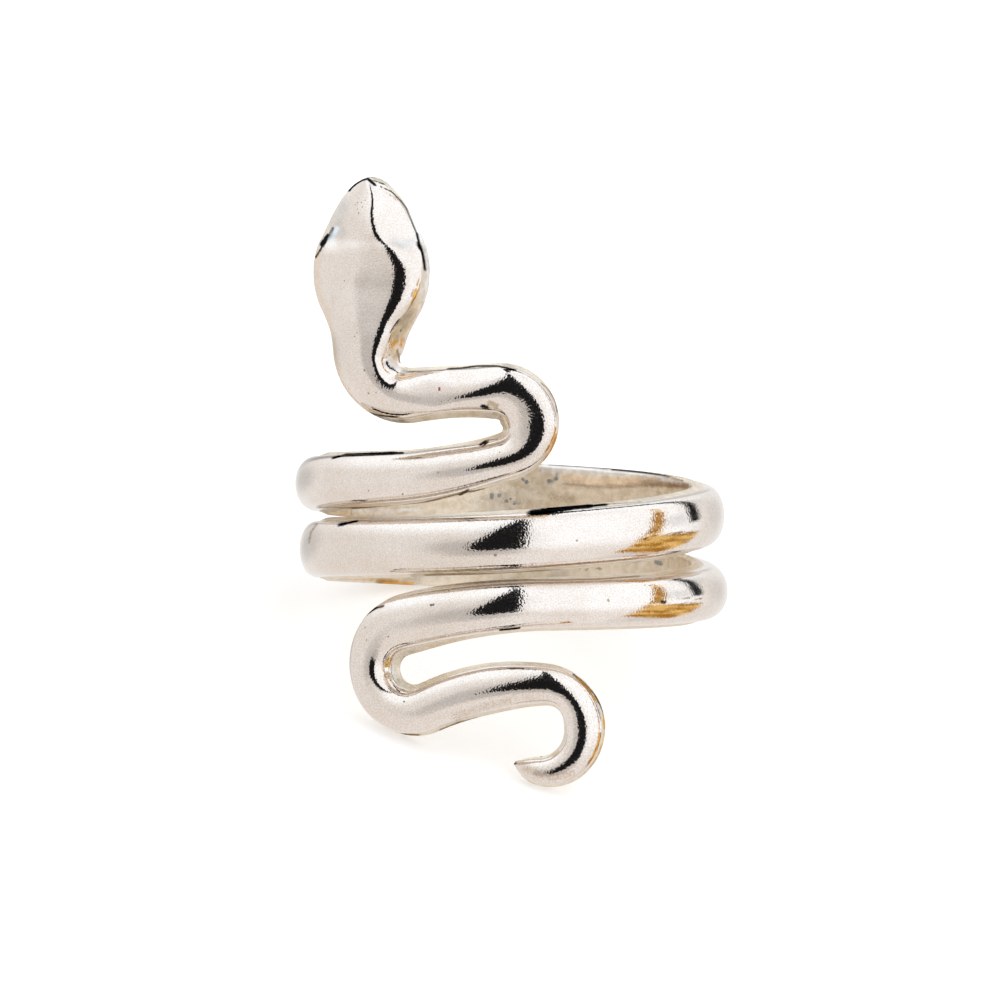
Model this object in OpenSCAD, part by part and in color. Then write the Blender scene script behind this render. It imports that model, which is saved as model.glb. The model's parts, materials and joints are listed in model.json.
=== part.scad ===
// Snake wrap ring: one cast piece that winds twice round the finger, with a flat S at the top that ends in
// the head, and a loop and a hook below that end in the tail's point.
// The body is swept along a path that is laid out on the finger's unrolled wall: across (mm to the right of
// the front) and up (mm). Lengths in mm, angles in degrees. Up is +Z, and the front faces -Y.

/* [Finger] */
// inside diameter, where the finger goes
finger_d = 17.3; // [15:0.1:22]

/* [Wraps] */
// height of the crown over the finger's wall
wall_t = 1.6; // [1.2:0.05:2.2]
// width of the wraps at their widest
band_w = 3.05; // [2.2:0.05:3.8]
// clear gap between two wraps where they are closest
band_gap = 0.2; // [0.15:0.05:1.2]

/* [Upper S] */
// how far left of the front the upper S leaves the wraps
head_at = 5.8; // [4:0.1:8]
// run from there to the upper turn
first_run = 5.75; // [4:0.05:8]
// width of the body in the upper turn
top_w = 2.9; // [2:0.05:3.4]
// clear width of the upper turn at its tightest
top_gap = 0.2; // [0.15:0.05:1.5]
// run from the upper turn to the neck's bend
top_run = 4.3; // [3:0.05:7]
// width of the neck
neck_w = 3.2; // [2.2:0.05:3.6]
// inner radius of the neck's bend
bend_in = 0.35; // [0.15:0.05:1.2]
// way that the flat upper part faces, measured round from the front
plate_turn = -16; // [-30:1:-8]

/* [Head] */
// length of the head, from the snout to the neck
head_l = 7.85; // [6:0.05:10]
// width of the head at the jaws
head_w = 5.7; // [4:0.05:6.8]
// height of the head over the finger's wall
head_h = 2.3; // [1.9:0.05:3]
// straight part of the neck, between the head and the bend
neck_l = 0.35; // [0.2:0.05:2]
// radius of the ball that hollows each eye
eye_r = 1.4; // [0.8:0.05:2]
// depth of each eye's hollow
eye_deep = 0.14; // [0.08:0.01:0.3]

/* [Tail] */
// how far right of the front the tail leaves the wraps
tail_at = 1.7; // [0:0.1:4]
// run from there to the lower loop
last_run = 7.3; // [5:0.05:9]
// width of the body in the lower loop
loop_w = 2.45; // [2:0.05:3]
// clear width of the lower loop
loop_gap = 1.65; // [0.8:0.05:2.4]
// run from the loop to the hook
tail_run = 5.95; // [4:0.05:8]
// width of the body in the hook
tail_w = 2.1; // [1.6:0.05:2.6]
// clear width of the hook
hook_gap = 2; // [1:0.05:3]
// length of the tail's point, past the hook
tip_l = 1.2; // [0.7:0.05:2.4]
// way that the tail faces, measured round from the front
tail_turn = -20; // [-28:1:0]

/* [Casting] */
// width of the plain flank beside the polished crown
flank_w = 0.3; // [0.1:0.02:0.4]
// height of the crown's foot over the finger's wall
foot_h = 0.6; // [0.4:0.05:0.8]
// rounding of the edges that touch the finger
edge_r = 0.3; // [0.1:0.05:0.4]

/* [Hidden] */

finger_r = finger_d / 2;
// degrees that the middle line travels round the finger, were it to end at the front again
two_turns = 720;
// radius at which the unrolled lengths are true
path_r = finger_r + 0.45 * wall_t;
mm_deg = path_r * PI / 180;
pitch = band_w + band_gap;
top_r = (top_w + top_gap) / 2;
bend_r = neck_w / 2 + bend_in;
loop_r = (loop_w + loop_gap) / 2;
hook_r = (tail_w + hook_gap) / 2;
// length over which one bend eases into the next
ease = 0.5;
// the swept wall starts this much under the bore, which then cuts it true. The flat parts clear it by
// clear_in
under = 0.06;
clear_in = 0.04;
// how much of its turn away from the finger the tail makes: 0 stays on the finger's wall, 1 is flat
tail_flat = 0.55;
silver = [0.87, 0.86, 0.84];

HEAD_RINGS = 78;
WRAP_RINGS = 168;
TAIL_RINGS = 68;
CROWN = 9;
BORE_SIDES = 180;
EYE_SIDES = 32;

// rows: length, turn. They lead from the wraps to the snout
HEAD_ROWS = [
  [first_run, 15],
  [top_r * 161 * PI / 180, 161],
  [top_run, 7],
  [bend_r * 101 * PI / 180, -101],
  [neck_l + head_l, 7.5]
];
// rows: length, turn. They lead from the wraps to the tail's point
TAIL_ROWS = [
  [last_run, 15],
  [loop_r * 188 * PI / 180, 188],
  [tail_run, -25],
  [hook_r * 189 * PI / 180, -189],
  [tip_l, -13]
];
// degrees travelled round from the front, height of the middle line as a share of the pitch
WRAP_RISE = [
  [0, 1.12],
  [90, 0.85],
  [180, 0.607],
  [270, 0.385],
  [360, 0.1],
  [450, -0.12],
  [540, -0.39],
  [630, -0.735],
  [720, -0.815]
];
// share of head_l, width as a share of head_w, height of head_h, flanks of flank_w on the left and the right
// of the way to the tail, left and right foot as shares of the height, where the crown's creases lie, how
// soft they are, how far its top leans
HEAD_ROW = [
  [0, 0.06, 0.28, 0.2, 0.2, 0.4, 0.4, 0.2, 0.2, 0.2],
  [0.012, 0.15, 0.38, 0.3, 0.3, 0.38, 0.4, 0.2, 0.2, 0.22],
  [0.045, 0.3, 0.5, 0.3, 0.5, 0.35, 0.36, 0.2, 0.2, 0.25],
  [0.13, 0.51, 0.63, 0.3, 0.5, 0.32, 0.32, 0.2, 0.2, 0.22],
  [0.23, 0.68, 0.76, 0.4, 0.5, 0.3, 0.26, 0.18, 0.18, 0.15],
  [0.33, 0.82, 0.85, 0.4, 0.5, 0.3, 0.25, 0.2, 0.16, 0.18],
  [0.38, 0.89, 0.87, 0.4, 0.5, 0.3, 0.32, 0.28, 0.2, 0.2],
  [0.43, 0.95, 0.9, 0.4, 0.5, 0.3, 0.48, 0.424, 0.3, 0.21],
  [0.53, 1, 0.935, 0.4, 0.65, 0.3, 0.72, 0.7, 0.44, 0.22],
  [0.6, 1, 0.95, 0.4, 0.8, 0.3, 0.77, 0.75, 0.46, 0.22],
  [0.67, 0.98, 0.957, 0.4, 1, 0.3, 0.78, 0.75, 0.44, 0.24],
  [0.77, 0.9, 0.978, 0.4, 1.6, 0.3, 0.81, 0.72, 0.44, 0.28],
  [0.87, 0.76, 0.99, 0.4, 2.1, 0.3, 0.83, 0.72, 0.48, 0.35],
  [0.97, 0.65, 1, 0.45, 1.9, 0.3, 0.81, 0.62, 0.48, 0.38]
];
// row of HEAD_ROWS, share of that row, width, crown as a share of wall_t, flanks left and right as shares of
// flank_w, how flat, crease, how soft, how round, lean
UPPER_ROW = [
  [3, 0.5, 0.9 * neck_w, 1.38, 0.5, 1, 1, 0.62, 0.5, 0.8, 0.36],
  [2, 0.7, 0.86 * top_w, 1.3, 1, 0.5, 0.75, 1, 1, 0.15, -0.3],
  [2, 0.3, 0.86 * top_w, 1.25, 1, 0.5, 0.55, 1, 1, 0.3, -0.2],
  [1, 0.5, top_w, 1.12, 1.3, 0.4, 0.35, 1, 1, 0.25, 0.4],
  [1, 0, 0.8 * top_w, 1.06, 1, 0.5, 0.15, 1, 1, 0.34, 0.15],
  [0, 0.5, 0.81 * band_w, 1.03, 0.5, 0.5, 0.05, 1, 1, 0.42, 0],
  [0, 0, 0.85 * band_w, 1.04, 0.5, 0.5, 0.02, 1, 1, 0.42, 0]
];
// the plain crown of the wraps and the tail: crease, how soft, how round, lean
PLAIN = [1, 1, 0.42, 0];
// share of the wraps' run, width as a share of band_w, crown of wall_t
WRAP_ROW = [
  [0.08, 0.96, 1.08],
  [0.21, 1, 1],
  [0.35, 1, 0.98],
  [0.48, 0.97, 0.96],
  [0.61, 0.98, 0.95],
  [0.75, 1, 1],
  [0.88, 0.93, 1.08]
];
// row of TAIL_ROWS, share of that row, width, crown of wall_t, flanks left and right, foot of foot_h, how
// flat as a share of tail_flat
TAIL_ROW = [
  [0, 0, 0.83 * band_w, 1, 0.5, 0.5, 1, 0],
  [0, 0.5, 0.87 * band_w, 1, 0.5, 0.5, 1, 0.5],
  [1, 0, 1.18 * loop_w, 1.03, 0.4, 1, 1, 1],
  [1, 0.5, loop_w, 1.06, 0.4, 1.2, 1, 1],
  [2, 0.5, 0.99 * loop_w, 1, 0.5, 0.5, 1, 1],
  [3, 0.15, 0.9 * tail_w, 0.94, 0.4, 0.4, 0.9, 1],
  [3, 0.5, tail_w, 0.86, 0.3, 0.4, 0.8, 1],
  [3, 1, 0.64 * tail_w, 0.68, 0.3, 0.4, 0.7, 1],
  [4, 0.5, 0.45 * tail_w, 0.5, 0.25, 0.3, 0.5, 1],
  [4, 1, 0.1 * tail_w, 0.2, 0.1, 0.1, 0.2, 1]
];

// a smooth step's running sum, and the share of a turn that is made at t when its ends ease over r
function ramp(x) = x < 0 ? 0 : x < 1 ? x * x / 2 : x - 0.5;
function soft(t, r) = (ramp(t + r) - ramp(t - r)) / (2 * r);

function run_of(rows, i = 0) = i == len(rows) ? 0 : rows[i][0] + run_of(rows, i + 1);
function run_to(rows, row, share, i = 0) = i >= row ? share * rows[i][0]
  : rows[i][0] + run_to(rows, row, share, i + 1);
function turn_of(row, d) = row[1] * soft(d / row[0], ease / 2 / row[0]);
function heading(s, h, rows, i = 0, from = 0) = i == len(rows) ? h
  : heading(s, h + turn_of(rows[i], s - from), rows, i + 1, from + rows[i][0]);

// smooth curve through a table's rows, whose first column is x: all columns at once, and their slope
function seat(rows, x, i = 0) = i >= len(rows) - 2 || x < rows[i + 1][0] ? i : seat(rows, x, i + 1);
function lean_of(rows, i) = let(
    a = rows[max(i - 1, 0)],
    b = rows[min(i + 1, len(rows) - 1)]
  ) (b - a) / (b[0] - a[0]);
function curve(rows, x) = let(
    i = seat(rows, x),
    h = rows[i + 1][0] - rows[i][0],
    t = min(max((x - rows[i][0]) / h, 0), 1)
  ) rows[i] * (1 + 2 * t) * (1 - t) * (1 - t) + rows[i + 1] * t * t * (3 - 2 * t)
    + h * t * (1 - t) * (lean_of(rows, i) * (1 - t) - lean_of(rows, i + 1) * t);
function slope(rows, x) = (curve(rows, x + 0.01)[1] - curve(rows, x - 0.01)[1]) / 0.02;

// points of the middle line: length from the joint, across, up, heading. The steps shorten towards the end
SHORTEN = 1.35;
function far(i, n, run) = run * (1 - pow(1 - i / n, SHORTEN));
function walk(across, up, h, rows, n) = let(run = run_of(rows)) [
  for (i = 0, x = across, z = up; i <= n;
      s = far(i, n, run),
      e = far(i + 1, n, run),
      g = heading((s + e) / 2, h, rows),
      x = x + (e - s) * cos(g),
      z = z + (e - s) * sin(g),
      i = i + 1)
    [far(i, n, run), x, z, heading(far(i, n, run), h, rows)]
];

// degrees travelled where the wraps start and end, and the heights and headings there
wrap_0 = head_at / mm_deg;
wrap_1 = two_turns - tail_at / mm_deg;
wrap_run = (wrap_1 - wrap_0) * mm_deg;
function rise(g) = pitch * curve(WRAP_RISE, g)[1];
function fall(g) = atan(pitch * slope(WRAP_RISE, g) / mm_deg);

upper = walk(-head_at, rise(wrap_0), -fall(wrap_0), HEAD_ROWS, HEAD_RINGS);
lower = walk(-wrap_1 * mm_deg, rise(wrap_1), 180 - fall(wrap_1), TAIL_ROWS, TAIL_RINGS);
head_run = run_of(HEAD_ROWS);
tail_from = head_run + wrap_run;
// the whole middle line from the snout to the tail's point: length from the snout, across, up, heading
LINE = concat(
  [for (i = [HEAD_RINGS:-1:0]) [head_run - upper[i][0], upper[i][1], upper[i][2], upper[i][3] + 180]],
  [for (i = [1:WRAP_RINGS]) let(g = wrap_0 + (wrap_1 - wrap_0) * i / WRAP_RINGS)
    [head_run + (g - wrap_0) * mm_deg, -g * mm_deg, rise(g), 180 - fall(g)]],
  [for (i = [1:TAIL_RINGS]) [tail_from + lower[i][0], lower[i][1], lower[i][2], lower[i][3]]]
);

// sections: length from the snout, width, crown, left and right flank, left and right foot, lift off the
// finger's wall, how flat, crease, how soft, how round, lean
SECTIONS = concat(
  [for (r = HEAD_ROW) let(h = r[2] * head_h) [r[0] * head_l, r[1] * head_w, h, r[3] * flank_w, r[4] * flank_w,
    r[5] * h, r[6] * h, clear_in, 1, r[7], r[8], 1, r[9]]],
  [for (r = UPPER_ROW) [head_run - run_to(HEAD_ROWS, r[0], r[1]), r[2], r[3] * wall_t, r[4] * flank_w,
    r[5] * flank_w, foot_h, foot_h, r[6] < 0.1 ? -under : clear_in, r[6], r[7], r[8], r[9], r[10]]],
  [for (r = WRAP_ROW) concat([head_run + r[0] * wrap_run, r[1] * band_w, r[2] * wall_t, 0.5 * flank_w,
    0.5 * flank_w, foot_h, foot_h, -under, 0], PLAIN)],
  [for (r = TAIL_ROW) concat([tail_from + run_to(TAIL_ROWS, r[0], r[1]), r[2], r[3] * wall_t, r[4] * flank_w,
    r[5] * flank_w, r[6] * foot_h, r[6] * foot_h, r[7] == 0 ? -under : clear_in, r[7] * tail_flat], PLAIN)]
);

// a point of one section's crown, sideways and over the finger's wall: u is -1 at its left edge, 1 at its
// right
function cap(r, u) = let(
    lo = -r[1] / 2 + r[3],
    hi = r[1] / 2 - r[4],
    foot = u < 0 ? r[5] : r[6],
    drop = ramp((abs(u) - r[9] + r[10]) / (2 * r[10])) / ramp((1 - r[9] + r[10]) / (2 * r[10])),
    out = u + r[12] * (1 - u * u)
  ) [(lo + hi) / 2 + (hi - lo) / 2 * out, foot + (r[2] - foot) * pow(max(1 - drop, 0), r[11])];
// one section's outline: sideways to the left of the way to the tail, height over the finger's wall
function outline(r) = let(a = r[1] / 2, e = min(edge_r, 0.15 * r[1])) concat(
    [[-a + e, r[7]], [-a + 0.3 * e, r[7] + 0.3 * e], [-a, r[7] + e]],
    [for (i = [0:CROWN - 1]) cap(r, -cos(180 * i / (CROWN - 1)))],
    [[a, r[7] + e], [a - 0.3 * e, r[7] + 0.3 * e], [a - e, r[7]]]
  );

// a point at p of the middle line, sideways w and h over the finger's wall: on the wall, and on the flat
// plane that touches it at turn, mixed by flat
function on_wall(x, z, h) = let(g = x / mm_deg) [(finger_r + h) * sin(g), -(finger_r + h) * cos(g), z];
function on_plane(x, z, h, turn) = let(d = x - turn * mm_deg)
  [(finger_r + h) * sin(turn) + d * cos(turn), -(finger_r + h) * cos(turn) + d * sin(turn), z];
function seat_at(p, w, h, flat) = let(
    x = p[1] - sin(p[3]) * w,
    z = p[2] + cos(p[3]) * w,
    turn = p[0] < head_run + wrap_run / 2 ? plate_turn : tail_turn - two_turns
  ) (1 - flat) * on_wall(x, z, h) + flat * on_plane(x, z, h, turn);

POINTS = [
  for (p = LINE) let(r = curve(SECTIONS, p[0]))
    for (q = outline(r)) seat_at(p, q[0], q[1], max(r[8], 0))
];
AROUND = CROWN + 6;
RINGS = len(LINE);
FACES = concat(
  [for (i = [0:RINGS - 2]) for (j = [0:AROUND - 1]) let(k = (j + 1) % AROUND)
    [i * AROUND + j, (i + 1) * AROUND + k, (i + 1) * AROUND + j]],
  [for (i = [0:RINGS - 2]) for (j = [0:AROUND - 1]) let(k = (j + 1) % AROUND)
    [i * AROUND + j, i * AROUND + k, (i + 1) * AROUND + k]],
  [for (j = [1:AROUND - 2]) [0, j + 1, j]],
  [for (j = [1:AROUND - 2]) (RINGS - 1) * AROUND * [1, 1, 1] + [0, j, j + 1]]
);

// the eyes lie on both sides of the head, this share of its length from the snout and this far out on its
// crown
eye_at = 0.37;
eye_out = 0.74;
EYE = LINE[len([for (p = LINE) if (p[0] < eye_at * head_l) 1])];
EYE_ROW = curve(SECTIONS, EYE[0]);
function eye_spot(way) = let(
    near = cap(EYE_ROW, way * (eye_out - 0.02)),
    far = cap(EYE_ROW, way * (eye_out + 0.02)),
    out = way * [near[1] - far[1], far[0] - near[0]] / norm(far - near),
    spot = (near + far) / 2 + (eye_r - eye_deep) * out
  ) seat_at(EYE, spot[0], spot[1], 1);

// the ring lies as it settles on a table: on the hook, the lower loop and the back of the lower wrap. Each of
// them has a zone of the body's points, and the table is the plane under all three
function zone(from, to) = [for (i = [0:RINGS - 1]) if (LINE[i][0] >= from && LINE[i][0] <= to)
  for (j = [0:AROUND - 1]) POINTS[i * AROUND + j]];
function lowest(points, up) = let(h = [for (p = points) p * up]) points[search(min(h), h)[0]];
HOOK_ZONE = zone(tail_from + run_to(TAIL_ROWS, 3, 0), tail_from + run_of(TAIL_ROWS));
LOOP_ZONE = zone(tail_from + run_to(TAIL_ROWS, 1, 0), tail_from + run_to(TAIL_ROWS, 2, 0.5));
// the back of the lower wrap is this many degrees round from the front
BACK = [450, 630];
BACK_ZONE = zone(head_run + (BACK[0] - wrap_0) * mm_deg, head_run + (BACK[1] - wrap_0) * mm_deg);
function settle(up, turns) = turns == 0 ? up : let(
    hook = lowest(HOOK_ZONE, up),
    across = cross(lowest(BACK_ZONE, up) - hook, lowest(LOOP_ZONE, up) - hook)
  ) settle(across * sign(across[2]) / norm(across), turns - 1);
// the way up is settled from a first guess, over this many turns
FIRST_UP = [0.25, -0.38, 0.89];
SETTLE_TURNS = 6;
UP = settle(FIRST_UP, SETTLE_TURNS);
AHEAD = [0, -1, 0] - UP * (UP * [0, -1, 0]);
FRONT = AHEAD / norm(AHEAD);
SIDE = cross(UP, FRONT);
LOW = min([for (p = POINTS) p * UP]);
SIDES = [for (p = POINTS) p * SIDE];
FRONTS = [for (p = POINTS) p * -FRONT];
module at_rest() {
  translate([-(max(SIDES) + min(SIDES)) / 2, -(max(FRONTS) + min(FRONTS)) / 2, -LOW])
    multmatrix([
      [SIDE[0], SIDE[1], SIDE[2], 0],
      [-FRONT[0], -FRONT[1], -FRONT[2], 0],
      [UP[0], UP[1], UP[2], 0],
      [0, 0, 0, 1]
    ])
      children();
}

module snake_band() {
  color(silver)
    at_rest()
      difference() {
        polyhedron(points = POINTS, faces = FACES, convexity = 10);
        // the finger's bore, true round
        cylinder(r = finger_r, h = 8 * pitch + 2 * head_l, center = true, $fn = BORE_SIDES);
        for (way = [-1, 1])
          translate(eye_spot(way))
            sphere(r = eye_r, $fn = EYE_SIDES);
      }
}

snake_band();
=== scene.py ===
"""Looks of the snake wrap ring: one cast silver body, finely meshed, on a white floor in a light tent.

The body is worked out in the ring's own frame, in mm: the finger's axis is +Z, the front faces -Y, and the
snake is laid out on the finger's unrolled wall, across (mm to the right of the front) and up. The frame's
finger mount then says how the ring lies, and the mesh is turned and moved there, in metres.
"""

import json
import math

import bpy
import numpy as np
from mathutils import Matrix, Vector


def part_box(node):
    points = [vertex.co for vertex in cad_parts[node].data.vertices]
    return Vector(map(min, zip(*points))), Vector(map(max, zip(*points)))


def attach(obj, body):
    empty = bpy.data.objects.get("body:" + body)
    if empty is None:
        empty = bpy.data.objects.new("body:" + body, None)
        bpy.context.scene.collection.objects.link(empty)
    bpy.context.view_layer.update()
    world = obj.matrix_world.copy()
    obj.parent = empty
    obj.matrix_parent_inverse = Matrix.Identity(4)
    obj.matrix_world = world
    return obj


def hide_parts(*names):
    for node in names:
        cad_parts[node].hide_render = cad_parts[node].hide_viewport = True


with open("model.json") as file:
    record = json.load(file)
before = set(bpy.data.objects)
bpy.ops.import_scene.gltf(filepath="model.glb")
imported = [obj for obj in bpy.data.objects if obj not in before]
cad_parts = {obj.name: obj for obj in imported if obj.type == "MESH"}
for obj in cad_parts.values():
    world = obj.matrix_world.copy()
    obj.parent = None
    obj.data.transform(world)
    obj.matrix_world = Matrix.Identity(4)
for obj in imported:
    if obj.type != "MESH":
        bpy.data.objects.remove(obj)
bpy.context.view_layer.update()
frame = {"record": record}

MM = 0.001
DEG = math.pi / 180

# sizes of the cast body, in mm and degrees, as in the part's source
# radius of the finger's bore, and height of the crown over it
FINGER_R, WALL_T = 8.65, 1.6
# the wraps, and the clear gap between two of them
BAND_W, BAND_GAP = 3.05, 0.2
# how far left of the front the upper S leaves the wraps, and the run from there to its turn
HEAD_AT, FIRST_RUN = 5.8, 5.75
# the upper turn, its clear width, and the run from it to the neck's bend
TOP_W, TOP_GAP, TOP_RUN = 2.9, 0.2, 4.3
# the neck, inner radius of its bend, and its straight part
NECK_W, BEND_IN, NECK_L = 3.2, 0.35, 0.35
HEAD_L, HEAD_W, HEAD_H = 7.85, 5.7, 2.3
# how far right of the front the tail leaves the wraps, and the run from there to the lower loop
TAIL_AT, LAST_RUN = 1.7, 7.3
# the lower loop, its clear width, and the run from it to the hook
LOOP_W, LOOP_GAP, TAIL_RUN = 2.45, 1.65, 5.95
# the hook, its clear width, and the point past it
TAIL_W, HOOK_GAP, TIP_L = 2.1, 2.0, 1.2
# the ways that the flat upper part and the tail face, round from the front, and how flat the tail is
PLATE_TURN, TAIL_TURN, TAIL_FLAT = -16.0, -20.0, 0.55
# the plain flank's width, the height of the crown's foot, and the rounding of the edges at the finger
FLANK_W, FOOT_H, EDGE_R = 0.3, 0.6, 0.3
# length over which one bend eases into the next, how far the flat parts clear the finger's wall, and how far the
# rest starts under it, before the bore is cut true
EASE, CLEAR_IN, UNDER = 0.5, 0.04, 0.06
# the eyes' hollows: how far along the head and out on the crown, as shares, and how wide they spread and how deep
# they are on the right (1) and on the left (-1), in mm
EYE_AT, EYE_OUT, EYE_SPREAD = 0.37, 0.74, 0.5
EYE_DEEP = {1: 0.05, -1: 0.14}

# the middle line winds at this radius; two turns of it round the finger, in degrees
PATH_R = FINGER_R + 0.45 * WALL_T
MM_DEG = PATH_R * DEG
TWO_TURNS = 720
PITCH = BAND_W + BAND_GAP
TOP_R, BEND_R = (TOP_W + TOP_GAP) / 2, NECK_W / 2 + BEND_IN
LOOP_R, HOOK_R = (LOOP_W + LOOP_GAP) / 2, (TAIL_W + HOOK_GAP) / 2

# length, turn: from the wraps to the snout, and from the wraps to the tail's point
HEAD_ROWS = [
    (FIRST_RUN, 15), (TOP_R * 161 * DEG, 161), (TOP_RUN, 7), (BEND_R * 101 * DEG, -101),
    (NECK_L + HEAD_L, 7.5),
]
TAIL_ROWS = [
    (LAST_RUN, 15), (LOOP_R * 188 * DEG, 188), (TAIL_RUN, -25), (HOOK_R * 189 * DEG, -189),
    (TIP_L, -13),
]
# the plain crown: its creases, how soft, how round, and no lean
ROUND = (1, 1, 0.42, 0)
# the tail's crown is a little fuller, most of all from this row of TAIL_ROWS on, its hook
TAIL_ROUND, HOOK_ROUND, HOOK_FROM = (1, 1, 0.36, 0), (1, 1, 0.3, 0), 3
# degrees round from the front, height of the middle line as a share of the pitch
WRAP_RISE = [
    (0, 1.12), (90, 0.85), (180, 0.607), (270, 0.385), (360, 0.1), (450, -0.12), (540, -0.39),
    (630, -0.735), (720, -0.815),
]
# share of the head, width, height, left and right flank, left and right foot as shares of the height, where
# the crown's creases lie, how soft they are, how far the top leans to the right
HEAD_ROW = [
    (0, 0.06, 0.28, 0.2, 0.2, 0.4, 0.4, 0.2, 0.2, 0.2),
    (0.012, 0.15, 0.38, 0.3, 0.3, 0.38, 0.4, 0.2, 0.2, 0.22),
    (0.045, 0.3, 0.5, 0.3, 0.5, 0.35, 0.36, 0.2, 0.26, 0.25),
    (0.13, 0.51, 0.63, 0.3, 0.5, 0.32, 0.32, 0.2, 0.26, 0.22),
    (0.23, 0.68, 0.76, 0.4, 0.5, 0.3, 0.26, 0.18, 0.24, 0.15),
    (0.33, 0.82, 0.85, 0.4, 0.5, 0.3, 0.25, 0.2, 0.22, 0.18),
    (0.38, 0.89, 0.87, 0.4, 0.5, 0.3, 0.32, 0.28, 0.26, 0.2),
    (0.43, 0.95, 0.9, 0.4, 0.3, 0.3, 0.48, 0.424, 0.3, 0.21),
    (0.53, 1, 0.935, 0.4, 0.15, 0.3, 0.72, 0.7, 0.5, 0.22),
    (0.6, 1, 0.95, 0.4, 0.15, 0.3, 0.77, 0.75, 0.5, 0.22),
    (0.67, 0.98, 0.957, 0.4, 0.3, 0.3, 0.78, 0.75, 0.5, 0.24),
    (0.77, 0.9, 0.978, 0.4, 0.85, 0.3, 0.81, 0.72, 0.5, 0.28),
    (0.87, 0.76, 0.99, 0.4, 1.3, 0.3, 0.83, 0.72, 0.5, 0.35),
    (0.97, 0.65, 1, 0.45, 1.1, 0.3, 0.81, 0.62, 0.48, 0.38),
]
# row of HEAD_ROWS, share of it, width, crown, left and right flank, how flat, crease, how soft, round, lean
UPPER_ROW = [
    (3, 0.5, 0.9 * NECK_W, 1.38, 0.5, 0.4, 1, 0.62, 0.5, 0.8, 0.36),
    (2, 0.7, 0.86 * TOP_W, 1.3, 1, 0.5, 0.75, 1, 1, 0.15, -0.3),
    (2, 0.3, 0.86 * TOP_W, 1.25, 1, 0.5, 0.55, 1, 1, 0.3, -0.2),
    (1, 0.5, TOP_W, 1.12, 1.3, 0.4, 0.35, 1, 1, 0.25, 0.4),
    (1, 0, 0.8 * TOP_W, 1.06, 1, 0.5, 0.15, 1, 1, 0.34, 0.15),
    (0, 0.5, 0.81 * BAND_W, 1.03, 0.5, 0.5, 0.05, 1, 1, 0.42, 0),
    (0, 0, 0.85 * BAND_W, 1.04, 0.5, 0.5, 0.02, 1, 1, 0.42, 0),
]
# share of the wraps' run, width, crown
WRAP_ROW = [
    (0.08, 0.96, 1.08), (0.21, 1, 1), (0.35, 1, 0.98), (0.48, 0.97, 0.96), (0.61, 0.98, 0.95),
    (0.75, 1, 1), (0.88, 0.93, 1.08),
]
# row of TAIL_ROWS, share of it, width, crown, left and right flank, foot, how flat
TAIL_ROW = [
    (0, 0, 0.83 * BAND_W, 1, 0.5, 0.5, 1, 0), (0, 0.5, 0.87 * BAND_W, 1, 0.5, 0.5, 1, 0.5),
    (1, 0, 1.18 * LOOP_W, 1.03, 0.4, 1, 1, 1), (1, 0.5, LOOP_W, 1.06, 0.4, 1.2, 1, 1),
    (2, 0.5, 0.99 * LOOP_W, 1, 0.5, 0.5, 1, 1), (3, 0.15, 0.9 * TAIL_W, 0.94, 0.4, 0.4, 0.9, 1),
    (3, 0.5, TAIL_W, 0.86, 0.3, 0.4, 0.8, 1), (3, 1, 0.64 * TAIL_W, 0.68, 0.3, 0.4, 0.7, 1),
    (4, 0.5, 0.45 * TAIL_W, 0.5, 0.25, 0.3, 0.5, 1), (4, 1, 0.1 * TAIL_W, 0.2, 0.1, 0.1, 0.2, 1),
]

# how finely the body is meshed: mm between rings at its ends and on the wraps, and points on the crown, a
# flank, an edge and the sole
STEP, WRAP_STEP = 0.1, 0.2
CROWN_N, FLANK_N, EDGE_N, SOLE_N = 44, 7, 5, 20
# an edge is this share of a narrow section's width at most
EDGE_SHARE = 0.15
# below this share of flatness a section of the upper S is still on the finger's wall
ON_WALL = 0.1


def ramp(x):
    """A smooth step's running sum."""
    return np.where(x < 0, 0.0, np.where(x < 1, x * x / 2, x - 0.5))


def heading(s, start, rows):
    """The way that the middle line runs at length s."""
    turn, at = start, 0.0
    for run, angle in rows:
        t, r = (s - at) / run, EASE / 2 / run
        turn = turn + angle * (ramp(t + r) - ramp(t - r)) / (2 * r)
        at += run
    return turn


def curve(rows, x):
    """Smooth curve through a table's rows, whose first column is x: all columns at once."""
    rows = np.asarray(rows, float)
    x = np.asarray(x, float)
    n = len(rows)
    i = np.clip(np.searchsorted(rows[:, 0], x, side="right") - 1, 0, n - 2)
    before, after = np.maximum(np.arange(n) - 1, 0), np.minimum(np.arange(n) + 1, n - 1)
    lean = (rows[after] - rows[before]) / (rows[after, :1] - rows[before, :1])
    h = (rows[i + 1, 0] - rows[i, 0])[..., None]
    t = np.clip((x - rows[i, 0])[..., None] / h, 0, 1)
    return (rows[i] * (1 + 2 * t) * (1 - t) ** 2 + rows[i + 1] * t * t * (3 - 2 * t)
            + h * t * (1 - t) * (lean[i] * (1 - t) - lean[i + 1] * t))


def run_to(rows, row, share):
    """Length from a path's start to a share of one of its rows."""
    return sum(r[0] for r in rows[:row]) + share * rows[row][0]


WRAP_0, WRAP_1 = HEAD_AT / MM_DEG, TWO_TURNS - TAIL_AT / MM_DEG
WRAP_RUN = (WRAP_1 - WRAP_0) * MM_DEG
HEAD_RUN = sum(r[0] for r in HEAD_ROWS)
TAIL_FROM = HEAD_RUN + WRAP_RUN


# the small steps that slopes are taken over: degrees of the wraps, and shares of the crown's half width
NUDGE, CROWN_NUDGE = 0.01, 0.02


def rise(g):
    """Height of the wraps' middle line, g degrees round from the front."""
    return PITCH * curve(WRAP_RISE, g)[..., 1]


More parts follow.
